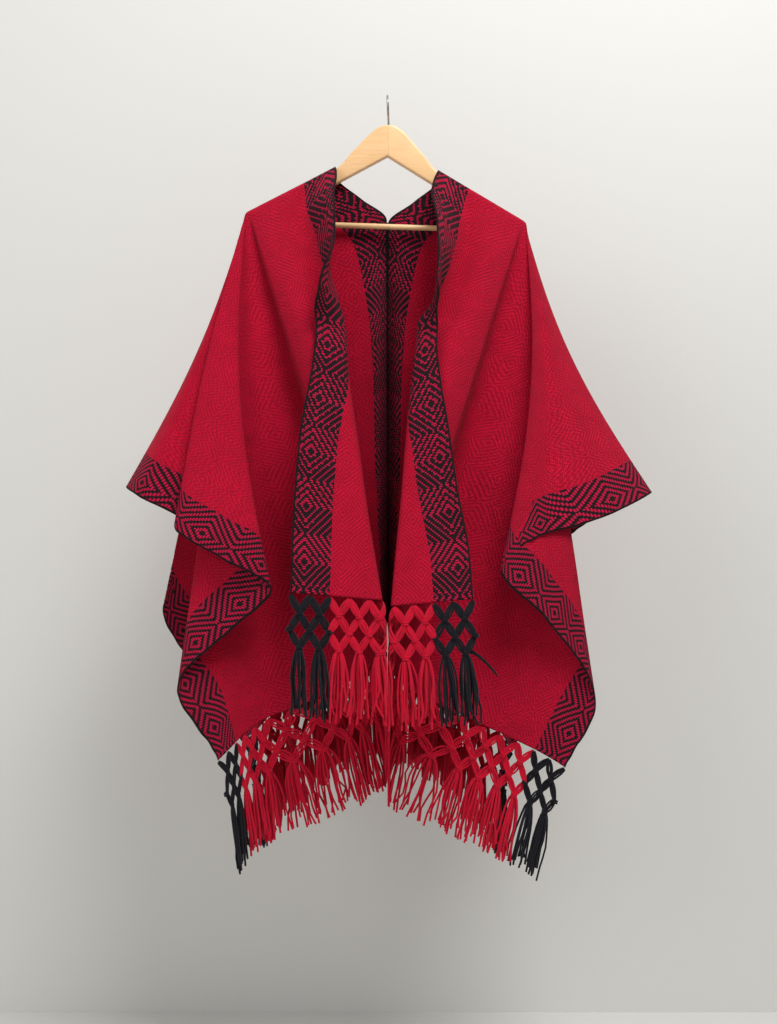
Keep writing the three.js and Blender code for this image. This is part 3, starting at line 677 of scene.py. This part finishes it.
def wool_fuzz():
    """Loose fibres on wool: a group that lightens, mottles and roughens a yarn's colour."""
    group = bpy.data.node_groups.new("wool fuzz", "ShaderNodeTree")
    for name, kind, way in (
        ("Colour", "NodeSocketColor", "INPUT"),
        ("Place", "NodeSocketVector", "INPUT"),
        ("Amount", "NodeSocketFloat", "INPUT"),
        ("Colour", "NodeSocketColor", "OUTPUT"),
        ("Relief", "NodeSocketFloat", "OUTPUT"),
    ):
        group.interface.new_socket(name, in_out=way, socket_type=kind)
    inside, joins = group.nodes, group.links
    given, made = inside.new("NodeGroupInput"), inside.new("NodeGroupOutput")
    fibres = inside.new("ShaderNodeTexNoise")
    fibres.inputs["Scale"].default_value = 1300
    fibres.inputs["Detail"].default_value = 3
    fibres.inputs["Roughness"].default_value = 0.7
    joins.new(given.outputs["Place"], fibres.inputs["Vector"])
    patches = inside.new("ShaderNodeTexNoise")
    patches.inputs["Scale"].default_value = 38
    patches.inputs["Detail"].default_value = 4
    joins.new(given.outputs["Place"], patches.inputs["Vector"])
    uneven = sums(inside, joins, "MULTIPLY_ADD", patches.outputs["Fac"], 0.5, 0.75)
    speckled = sums(inside, joins, "MULTIPLY_ADD", fibres.outputs["Fac"], 1.5, 0.25)
    tone = sums(inside, joins, "MULTIPLY", uneven, speckled)
    change = sums(inside, joins, "SUBTRACT", tone, 1.0)
    offset = sums(inside, joins, "MULTIPLY", change, given.outputs["Amount"])
    lift = sums(inside, joins, "ADD", offset, 1.0)
    scaled = inside.new("ShaderNodeVectorMath")
    scaled.operation = "SCALE"
    joins.new(given.outputs["Colour"], scaled.inputs["Vector"])
    joins.new(lift, scaled.inputs["Scale"])
    joins.new(scaled.outputs["Vector"], made.inputs["Colour"])
    joins.new(fibres.outputs["Fac"], made.inputs["Relief"])
    return group


fuzz_group = wool_fuzz()
red_weft, red_warp = linear(236, 14, 62), linear(202, 6, 46)
black_warp, band_weft = linear(26, 24, 29), linear(200, 20, 66)
selvedge_width, diamond_row = 3 * mm, 19.2 * mm
repeat = 84 * mm
band_cell, band_line = (2.4 * mm, 3.0 * mm), 12 * mm
field_cell, field_line = (1.5 * mm, 1.75 * mm), 7 * mm

wool, nodes, links, shader = new_material("handwoven red wool", 0.95, sheen=0.05)
shader.inputs["Sheen Roughness"].default_value = 0.5
shader.inputs["Sheen Tint"].default_value = (1.0, 0.2, 0.3, 1)
shader.inputs["Specular IOR Level"].default_value = 0.2
chart = nodes.new("ShaderNodeUVMap")
chart.uv_map = "flat cloth"
split = nodes.new("ShaderNodeSeparateXYZ")
links.new(chart.outputs["UV"], split.inputs["Vector"])
uneven = []
for count, size in ((24, 3.2 * mm), (140, 1.3 * mm)):
    pull = nodes.new("ShaderNodeTexNoise")
    pull.inputs["Scale"].default_value = count
    pull.inputs["Detail"].default_value = 2
    links.new(chart.outputs["UV"], pull.inputs["Vector"])
    pulled = nodes.new("ShaderNodeSeparateXYZ")
    links.new(pull.outputs["Color"], pulled.inputs["Vector"])
    for axis in ("X", "Y"):
        centred = sums(nodes, links, "SUBTRACT", pulled.outputs[axis], 0.5)
        uneven.append(sums(nodes, links, "MULTIPLY", centred, size))
flat_across, flat_along = split.outputs["X"], split.outputs["Y"]
across = sums(nodes, links, "ADD", flat_across, sums(nodes, links, "ADD", uneven[0], uneven[2]))
along = sums(nodes, links, "ADD", flat_along, sums(nodes, links, "ADD", uneven[1], uneven[3]))


def nearest_edge(place_across):
    """How far a place is from the nearer long edge of its panel."""
    other = sums(nodes, links, "SUBTRACT", panel_width * mm, place_across)
    return sums(nodes, links, "MINIMUM", place_across, other)


def band_phase(middle_across, middle_along):
    """Lines of floats round the diamonds of a band, counted in repeats of four crossings."""
    edge = nearest_edge(middle_across)
    up = sums(nodes, links, "PINGPONG", middle_along, repeat / 2)
    out = sums(nodes, links, "ABSOLUTE", sums(nodes, links, "SUBTRACT", edge, diamond_row))
    step = band_cell[1] / band_cell[0]
    return sums(nodes, links, "DIVIDE", sums(nodes, links, "MULTIPLY_ADD", out, step, up), band_line)


def field_phase(middle_across, middle_along):
    """Lines of floats round the large diamonds of the red field."""
    up = sums(nodes, links, "PINGPONG", middle_along, repeat / 2)
    stretched = sums(nodes, links, "MULTIPLY", middle_across, field_cell[1] / field_cell[0])
    out = sums(nodes, links, "PINGPONG", stretched, repeat / 2)
    return sums(nodes, links, "DIVIDE", sums(nodes, links, "ADD", up, out), field_line)


band_up, band_relief = woven_texture(nodes, links, across, along, *band_cell, band_phase, 0.52)
field_up, field_relief = woven_texture(nodes, links, across, along, *field_cell, field_phase, 0.5)
from_edge = nearest_edge(across)
in_band = sums(nodes, links, "LESS_THAN", from_edge, band_width * mm)
in_selvedge = sums(nodes, links, "LESS_THAN", from_edge, selvedge_width)
band_up = sums(nodes, links, "MULTIPLY", band_up, sums(nodes, links, "SUBTRACT", 1.0, in_selvedge))
band_colour = blended(nodes, links, band_up, black_warp, band_weft)
field_colour = blended(nodes, links, field_up, red_warp, red_weft)
woven = blended(nodes, links, in_band, field_colour, band_colour)
relief = nodes.new("ShaderNodeMix")
links.new(in_band, relief.inputs["Factor"])
links.new(field_relief, relief.inputs[2])
links.new(band_relief, relief.inputs[3])
# Painted shade: the woven colour is blended toward a dark red-black where each yarn's round relief falls
# away, as shade in the gaps between the floats.
painted_gap_shade = sums(nodes, links, "POWER", relief.outputs[0], 0.8)
woven = blended(nodes, links, painted_gap_shade, linear(40, 2, 12), woven)
fuzz = nodes.new("ShaderNodeGroup")
fuzz.node_tree = fuzz_group
links.new(woven, fuzz.inputs["Colour"])
links.new(nodes.new("ShaderNodeTexCoord").outputs["Object"], fuzz.inputs["Place"])
fuzz.inputs["Amount"].default_value = 0.75
links.new(fuzz.outputs["Colour"], shader.inputs["Base Color"])
height = sums(nodes, links, "MULTIPLY_ADD", fuzz.outputs["Relief"], 0.6, relief.outputs[0])
bump = nodes.new("ShaderNodeBump")
bump.inputs["Strength"].default_value = 0.8
bump.inputs["Distance"].default_value = 0.0011
links.new(height, bump.inputs["Height"])
links.new(bump.outputs["Normal"], shader.inputs["Normal"])

for side, half in halves.items():
    cloth = woven_panel(f"woven_panel_{side}", half)
    cloth.data.materials.append(wool)
    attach(cloth, "root")
    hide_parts(f"panel_{side}")


# The centre seam: the two selvedges of the back are sewn edge to edge from the point of the neck
# to the hem, overcast with black wool yarn and with one strand laid along the join.
seam_step, seam_yarn, seam_bite, turn_points = 5.2, 0.85, 3.2, 12


def yarn_material(name, colour, tint):
    """Plied wool yarn of one colour, with its fuzz."""
    made, nodes, links, shader = new_material(name, 0.95, sheen=0.15)
    shader.inputs["Sheen Roughness"].default_value = 0.45
    shader.inputs["Sheen Tint"].default_value = tint
    shader.inputs["Specular IOR Level"].default_value = 0.2
    place = nodes.new("ShaderNodeTexCoord").outputs["Object"]
    fuzz = nodes.new("ShaderNodeGroup")
    fuzz.node_tree = fuzz_group
    fuzz.inputs["Colour"].default_value = colour
    fuzz.inputs["Amount"].default_value = 0.9
    links.new(place, fuzz.inputs["Place"])
    links.new(fuzz.outputs["Colour"], shader.inputs["Base Color"])
    bump = nodes.new("ShaderNodeBump")
    bump.inputs["Strength"].default_value = 0.7
    bump.inputs["Distance"].default_value = 0.0006
    links.new(fuzz.outputs["Relief"], bump.inputs["Height"])
    links.new(bump.outputs["Normal"], shader.inputs["Normal"])
    return made


red_yarn = yarn_material("red wool yarn", linear(198, 12, 46), (1.0, 0.4, 0.45, 1))
black_yarn = yarn_material("black wool yarn", linear(22, 21, 27), (0.7, 0.7, 0.8, 1))


def seam_line(along):
    """Middle of the join, and the way from the cloth out past its two edges, at each place."""
    both = [cloth_point(half, np.zeros_like(along), along) for half in halves.values()]
    inner = [cloth_point(half, np.full_like(along, 4.0), along) for half in halves.values()]
    edge, inside = sum(both) / 2, sum(inner) / 2
    edge[:, 0] = 0
    inside[:, 0] = 0
    return edge, unit(edge - inside)


seam_along = np.arange(neck_along - neck_slit - 1, -half_length + 2, -seam_step / turn_points)
edge, outward = seam_line(seam_along)
round_angle = 2 * math.pi * np.arange(len(seam_along)) / turn_points
sideways = np.array([1.0, 0, 0])
middle = edge - outward * (seam_bite * 0.5)
stitches = (
    middle
    + sideways * (seam_bite * np.cos(round_angle))[:, None]
    + outward * (seam_bite * np.sin(round_angle))[:, None]
)
laid_in = (edge + outward * 0.8)[::turn_points]
seam = tube("centre_seam", [stitches, laid_in], seam_yarn, 1, (black_yarn,))
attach(seam, "root")


# The fringes: the warp ends of each hem, taken in bundles of four yarns and knotted into three
# rows of open meshes, with a tassel of cut ends under each knot of the last row. The ends are
# black for the width of a band at both sides, and red between.
net_rows, net_row_height, heading, tassel_length = 3, 25, 3, 100
yarn_radius, bundle_yarns, tassel_yarns = 1.6, 4, 14
knot_wide, knot_deep, knot_tall = 4.4, 4.2, 2.6
black_pitches = 2
middle_clear, middle_crowd = 1.6, 5
cloth_share, straight_depth = 0.4, 20
random = np.random.default_rng(7)


def hem_frame(half, along):
    """Hangs places below a hem: across on the flat cloth by depth, and how far off the sheet."""
    inner = along - 20 * np.sign(along)

    def hang(across, depth, off):
        across, depth, off = np.broadcast_arrays(np.asarray(across, float), depth, off)
        shape = across.shape
        flat = np.clip(across.ravel(), 0.5, panel_width - 0.5)
        depth, off = depth.ravel(), off.ravel()
        point = cloth_point(half, flat, np.full_like(flat, along))
        side = unit(point - cloth_point(half, flat, np.full_like(flat, inner)))
        aside = cloth_point(half, flat + 0.5, np.full_like(flat, along))
        aside = aside - cloth_point(half, flat - 0.5, np.full_like(flat, along))
        normal = unit(np.cross(aside, side)) * half["sign"]
        fall = unit(side * cloth_share + np.array([0, 0, cloth_share - 1]))
        straight = np.minimum(depth, straight_depth)
        point = point + side * straight[:, None] + fall * (depth - straight)[:, None]
        point = point + normal * off[:, None] + unit(aside) * (across.ravel() - flat)[:, None]
        near = half["sign"] * point[:, 0]
        crowding = middle_crowd - middle_clear
        crowded = middle_clear + crowding * np.exp(np.minimum(near - middle_crowd, 0) / crowding)
        point[:, 0] = half["sign"] * np.where(near < middle_crowd, crowded, near)
        return point.reshape(shape + (3,))

    return hang


def knotted_fringe(name, half, along):
    """Every yarn of one hem's fringe as thin round lines, and which of the two colours each has."""
    hang = hem_frame(half, along)
    lines, colours = [], []

    def colour_at(place):
        return int(not black_pitches * pitch < place < panel_width - black_pitches * pitch)

    def add(across, depth, off, colour):
        lines.append(hang(across, depth, off))
        colours.append(colour)

    def knot_place(row, k):
        return k * pitch, heading + row * net_row_height

    def petal(row, k, way):
        """A bundle from one knot down to the next, fanned into a leaf shape between them."""
        x0, d0 = knot_place(row, k)
        x1, d1 = knot_place(row + 1, k + way / 2)
        t = np.linspace(0, 1, 8)
        belly = np.sin(math.pi * np.clip(t * 1.1 - 0.05, 0, 1)) ** 0.7
        over = way * (1 if row % 2 else -1)
        across_way, down_way = (d1 - d0), -(x1 - x0)
        long = math.hypot(across_way, down_way)
        for yarn in range(bundle_yarns):
            lane = yarn - (bundle_yarns - 1) / 2
            spread = lane * (0.9 + 1.9 * belly) + random.normal(0, 0.35) * belly
            across = x0 + (x1 - x0) * t + spread * across_way / long
            depth = d0 + (d1 - d0) * t + spread * down_way / long
            lift = over * 1.4 * np.cos(math.pi * t) + 1.5 * belly * (1 - (lane / 1.9) ** 2)
            add(across, depth, lift, colour_at(x0 + way * pitch / 4))

    def knot(row, k):
        """A yarn wound nearly twice round the bundles where they cross."""
        x, depth = knot_place(row, k)
        turn = np.linspace(0, 3.4 * math.pi, 13) + random.uniform(0, 2)
        across = x + knot_wide * np.cos(turn)
        off = knot_deep * np.sin(turn)
        add(across, depth + np.linspace(-knot_tall, knot_tall, 13), off, colour_at(x))

    def tassel(k):
        """Loose cut ends that hang from a knot of the last row, fuller below it and uneven."""
        x, depth = knot_place(net_rows, k)
        leaning = random.normal(0, 3.0)
        for yarn in range(tassel_yarns):
            angle = 2 * math.pi * yarn / tassel_yarns + random.uniform(-0.3, 0.3)
            ring = random.uniform(0.1, 0.6) if yarn % 4 == 0 else random.uniform(0.7, 1.1)
            long = tassel_length * random.uniform(0.8, 1.03)
            t = np.array([0, 0.07, 0.17, 0.3, 0.46, 0.63, 0.81, 1.0])
            wide = ring * (3.4 + 10.6 * np.clip(t / 0.4, 0, 1) ** 0.6)
            curl_width = random.normal(0, 2.2)
            waves = t * random.uniform(0.8, 1.4) + random.uniform(0, 1)
            curl = curl_width * np.sin(2 * math.pi * waves) * t
            across = x + wide * math.cos(angle) + leaning * t**1.3 + curl + random.normal(0, 2.4) * t**2
            off = 0.55 * wide * math.sin(angle) + random.normal(0, 1.2) * t**2
            add(across, depth + 1 + long * t, off, colour_at(x))

    def stray(k):
        """Three ends that swing out sideways from a tassel, as far as they are long."""
        x, depth = knot_place(net_rows, k)
        t = np.linspace(0, 1, 8)
        for yarn in range(3):
            away = -42 * t**0.8 - 1.5 * yarn
            add(x + away, depth - 8 + 38 * t**1.2 + 2.4 * yarn, -4 - 3 * t, colour_at(x))

    for row in range(net_rows):
        first = 0 if row % 2 == 0 else 0.5
        count = fringe_pitches + 1 if row % 2 == 0 else fringe_pitches
        for number in range(count):
            k = first + number
            for way in (-1, 1):
                if 0 <= k + way / 2 <= fringe_pitches:
                    petal(row, k, way)
            if row:
                knot(row, k)
    for number in range(fringe_pitches):
        knot(net_rows, number + 0.5)
        tassel(number + 0.5)
    if half["sign"] > 0 and along > 0:
        stray(0.5)
    return tube(name, lines, yarn_radius, 1, (red_yarn, black_yarn), colours)


for side, half in halves.items():
    for end, along in (("front", half_length), ("back", -half_length)):
        fringe = knotted_fringe(f"yarn_fringe_{end}_{side}", half, along)
        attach(fringe, "root")
        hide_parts(f"fringe_{end}_{side}")


# The studio: a plain pale floor and backdrop, one soft light from above on the right, a weaker
# one from the left, and the camera straight in front of the garment.
floor_height, backdrop_behind = -1.62, 0.42
bpy.ops.mesh.primitive_plane_add(size=9, location=(0, -2.2, floor_height))
floor = bpy.context.object
floor.name = "studio_floor"
upright = (math.pi / 2, 0, 0)
bpy.ops.mesh.primitive_plane_add(size=9, location=(0, backdrop_behind, 1.5), rotation=upright)
backdrop = bpy.context.object
backdrop.name = "studio_backdrop"
pale, nodes, links, shader = new_material("pale studio paint", 0.9)
shader.inputs["Base Color"].default_value = linear(222, 221, 216)
facing = nodes.new("ShaderNodeNewGeometry").outputs["Backfacing"]
links.new(sums(nodes, links, "SUBTRACT", 1.0, facing), shader.inputs["Alpha"])
for sheet in (floor, backdrop):
    sheet.data.materials.append(pale)


def soft_light(name, place, target, size, power):
    """A square of soft light that faces its target."""
    data = bpy.data.lights.new(name, "AREA")
    data.shape, data.size, data.energy = "SQUARE", size, power
    lamp = bpy.data.objects.new(name, data)
    lamp.location = place
    lamp.rotation_mode = "QUATERNION"
    lamp.rotation_quaternion = (Vector(target) - Vector(place)).to_track_quat("-Z", "Y")
    bpy.context.collection.objects.link(lamp)


soft_light("key light", (0.8, -1.6, 1.9), (0, 0, -0.6), 1.3, 78)
soft_light("fill light", (-1.9, -2.2, 0.5), (0, 0, -0.6), 1.6, 20)
world = bpy.data.worlds.new("studio air")
bpy.context.scene.world = world
world.use_nodes = True
world.node_tree.nodes["Background"].inputs["Color"].default_value = (0.95, 0.97, 1.0, 1)
world.node_tree.nodes["Background"].inputs["Strength"].default_value = 0.36
bpy.context.scene.view_settings.view_transform = "Standard"

camera_data = bpy.data.cameras.new("camera")
camera_data.lens, camera_data.sensor_width = 40.3, 36
camera = bpy.data.objects.new("camera", camera_data)
camera.location = (0.0016, -1.8, -0.651)
camera.rotation_euler = upright
bpy.context.collection.objects.link(camera)
bpy.context.scene.camera = camera
